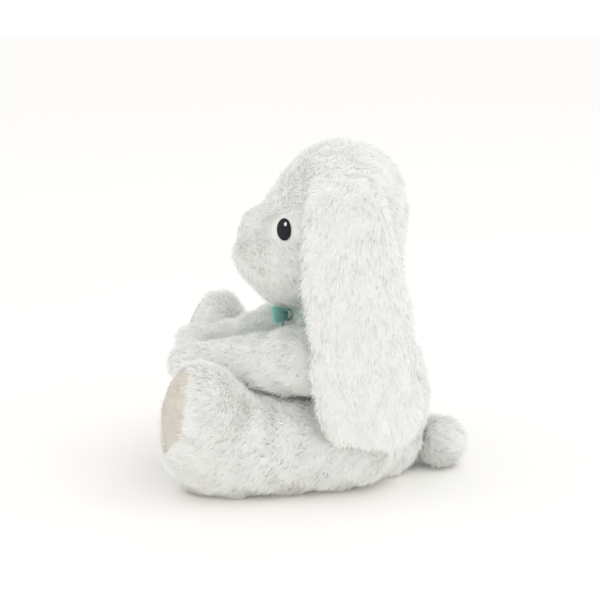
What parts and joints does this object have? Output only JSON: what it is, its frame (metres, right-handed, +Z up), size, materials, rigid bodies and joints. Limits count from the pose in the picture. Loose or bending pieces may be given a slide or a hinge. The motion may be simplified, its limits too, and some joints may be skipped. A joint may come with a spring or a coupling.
{
  "type": "plush bunny rabbit",
  "caption": "Seated plush rabbit with long lop ears, a ribbon bow under its chin, soft jointed limbs and a round tail.",
  "frame": {"origin": "on the floor under the chest, in the plane that the head and trunk are mirrored in", "axes": "+Z up through the head, -Y the way the rabbit looks, +X its own left side"},
  "size_m": [0.2305, 0.2592, 0.288],
  "materials": {
    "white_plush": "long soft pile",
    "cream_pad": "short smooth pile",
    "aqua_plush": "short pile",
    "aqua_ribbon": "satin weave",
    "black_thread": "satin stitch",
    "white_thread": "satin stitch",
    "pink_thread": "satin stitch",
    "polyester_fibre": "loose wadding",
    "cotton_bag": "plain weave",
    "plastic_pellets": "smooth beads"
  },
  "bodies": {
    "torso": {"torso_cover": "white_plush", "torso_stuffing": "polyester_fibre", "pellet_bag": "cotton_bag", "pellet_fill": "plastic_pellets", "neck_ribbon": "aqua_ribbon", "bow_left_loop": "aqua_ribbon", "bow_right_loop": "aqua_ribbon", "bow_knot": "aqua_ribbon", "bow_left_tail": "aqua_ribbon", "bow_right_tail": "aqua_ribbon"},
    "head": {"head_cover": "white_plush", "head_stuffing": "polyester_fibre", "left_eye_white": "white_thread", "left_eye_pupil": "black_thread", "left_eye_glint": "white_thread", "right_eye_white": "white_thread", "right_eye_pupil": "black_thread", "right_eye_glint": "white_thread", "nose": "pink_thread", "mouth_stitching": "pink_thread"},
    "left_ear": {"left_ear_plush": "white_plush", "left_ear_lining": "aqua_plush"},
    "right_ear": {"right_ear_plush": "white_plush", "right_ear_lining": "aqua_plush"},
    "left_arm": {"left_arm_cover": "white_plush", "left_arm_stuffing": "polyester_fibre"},
    "right_arm": {"right_arm_cover": "white_plush", "right_arm_stuffing": "polyester_fibre"},
    "left_leg": {"left_leg_cover": "white_plush", "left_foot_pad": "cream_pad", "left_leg_stuffing": "polyester_fibre"},
    "right_leg": {"right_leg_cover": "white_plush", "right_foot_pad": "cream_pad", "right_leg_stuffing": "polyester_fibre"},
    "tail": {"tail_cover": "white_plush", "tail_stuffing": "polyester_fibre"}
  },
  "joints": [
    {"name": "neck_turn", "type": "hinge", "parent": "torso", "child": "head", "pos_m": [0, 0.034, 0.14], "axis": [0, 0, 1], "range_deg": [-10, 10], "stiffness_Nm_per_rad": 0.5},
    {"name": "left_ear_lift", "type": "hinge", "parent": "head", "child": "left_ear", "pos_m": [0.05, 0.028, 0.268], "axis": [0, -1, 0], "range_deg": [0, 100]},
    {"name": "left_shoulder_lift", "type": "hinge", "parent": "torso", "child": "left_arm", "pos_m": [0.054, 0.02, 0.109], "axis": [-1, 0, 0], "range_deg": [0, 11]},
    {"name": "left_hip_spread", "type": "hinge", "parent": "torso", "child": "left_leg", "pos_m": [0.05, 0.04, 0.04], "axis": [0, 0, 1], "range_deg": [0, 10], "stiffness_Nm_per_rad": 0.5},
    {"name": "right_ear_lift", "type": "hinge", "parent": "head", "child": "right_ear", "pos_m": [-0.05, 0.028, 0.268], "axis": [0, 1, 0], "range_deg": [0, 100]},
    {"name": "right_shoulder_lift", "type": "hinge", "parent": "torso", "child": "right_arm", "pos_m": [-0.054, 0.02, 0.109], "axis": [-1, 0, 0], "range_deg": [0, 11]},
    {"name": "right_hip_spread", "type": "hinge", "parent": "torso", "child": "right_leg", "pos_m": [-0.05, 0.04, 0.04], "axis": [0, 0, -1], "range_deg": [0, 10], "stiffness_Nm_per_rad": 0.5},
    {"name": "tail_wag", "type": "hinge", "parent": "torso", "child": "tail", "pos_m": [0, 0.092, 0.022], "axis": [0, 0, 1], "range_deg": [-12, 12], "stiffness_Nm_per_rad": 0.05}
  ]
}
